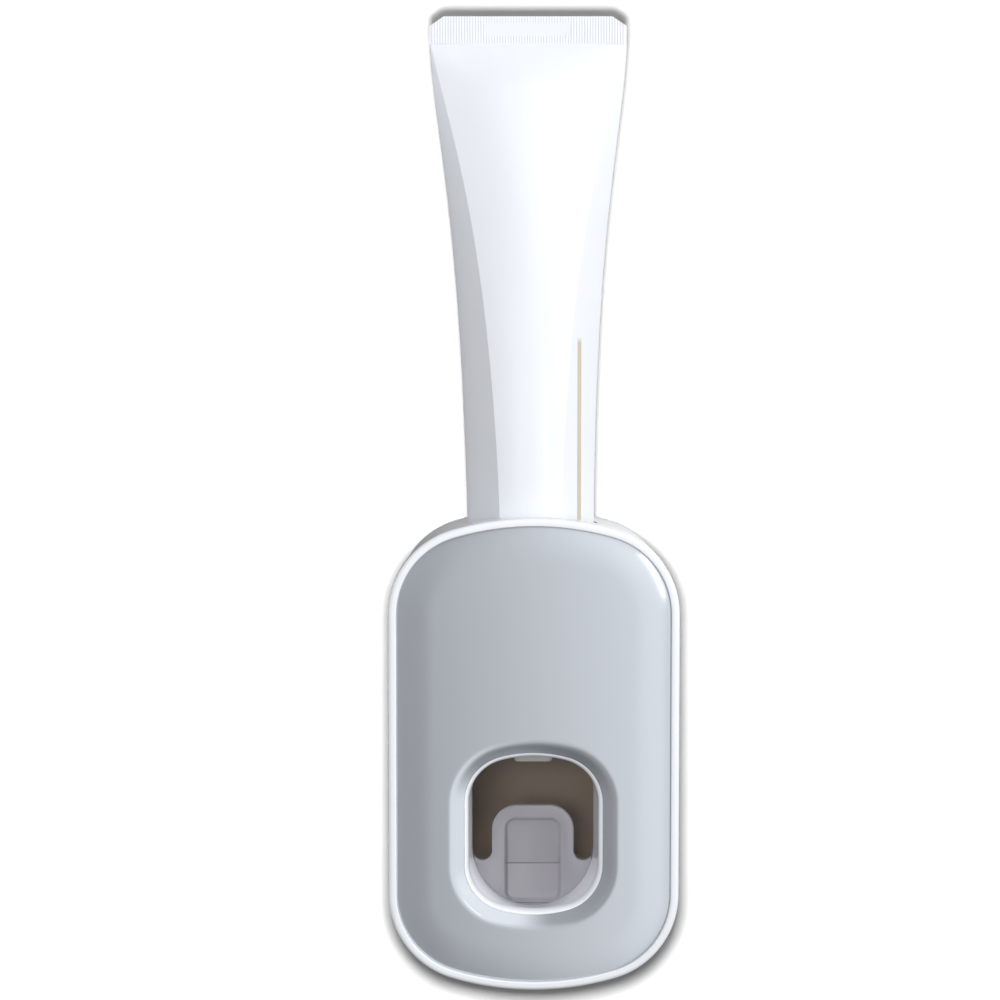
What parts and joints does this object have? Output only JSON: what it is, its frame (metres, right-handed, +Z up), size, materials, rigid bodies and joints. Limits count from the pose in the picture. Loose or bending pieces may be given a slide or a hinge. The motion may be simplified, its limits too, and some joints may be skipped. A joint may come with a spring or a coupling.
{
  "type": "toothpaste dispenser",
  "caption": "Wall-mounted toothpaste dispenser: a push lever in a toothbrush bay squeezes a silicone bulb fed by an upside-down tube.",
  "frame": {"origin": "centre of the adhesive pad's back face, on the wall", "axes": "X to the right, Y into the wall, Z up; the front faces -Y"},
  "size_m": [0.092, 0.061, 0.3088],
  "materials": {
    "foam_tape": "matte foam tape",
    "white_plastic": "satin moulded plastic",
    "white_gloss": "polished white ABS",
    "grey_plastic": "satin moulded plastic",
    "steel": "plain steel",
    "taupe_plastic": "dark taupe moulded plastic",
    "silicone": "translucent silicone",
    "pale_plastic": "pale moulded plastic",
    "silver_gloss": "glossy silver-grey panel",
    "lever_gloss": "glossy lavender-grey plastic",
    "tube_laminate": "white laminate with a pale gold stripe"
  },
  "bodies": {
    "wall": {"adhesive_pad": "foam_tape", "wall_plate": "white_plastic"},
    "housing": {"back_shell": "white_gloss", "pump_frame": "grey_plastic", "frame_screws": "steel", "bay_liner": "white_gloss", "bay_back": "taupe_plastic", "tube_socket": "grey_plastic", "seal_ring": "silicone", "inlet_valve": "silicone", "pump_bulb": "silicone", "bulb_retainer": "grey_plastic", "outlet_valve": "silicone", "spout": "pale_plastic", "pivot_pins": "steel", "return_springs": "steel", "lever_bumpers": "silicone"},
    "cover": {"front_shell": "white_gloss", "face_panel": "silver_gloss"},
    "lever": {"push_lever": "lever_gloss", "presser_pad": "silicone"},
    "tube": {"tube_sleeve": "tube_laminate", "tube_head": "white_plastic"}
  },
  "joints": [
    {"name": "housing_lift", "type": "slide", "parent": "wall", "child": "housing", "axis": [0, 0, 1], "range_m": [0, 0.042]},
    {"name": "cover_pull", "type": "slide", "parent": "housing", "child": "cover", "axis": [0, -1, 0], "range_m": [0, 0.07]},
    {"name": "lever_push", "type": "hinge", "parent": "housing", "child": "lever", "pos_m": [0, -0.03, -0.004], "axis": [1, 0, 0], "range_deg": [0, 13], "stiffness_Nm_per_rad": 0.3, "springref_deg": -8.59, "deforming": ["return_springs", "pump_bulb"]},
    {"name": "tube_lift", "type": "slide", "parent": "housing", "child": "tube", "axis": [0, 0, 1], "range_m": [0, 0.06]}
  ]
}
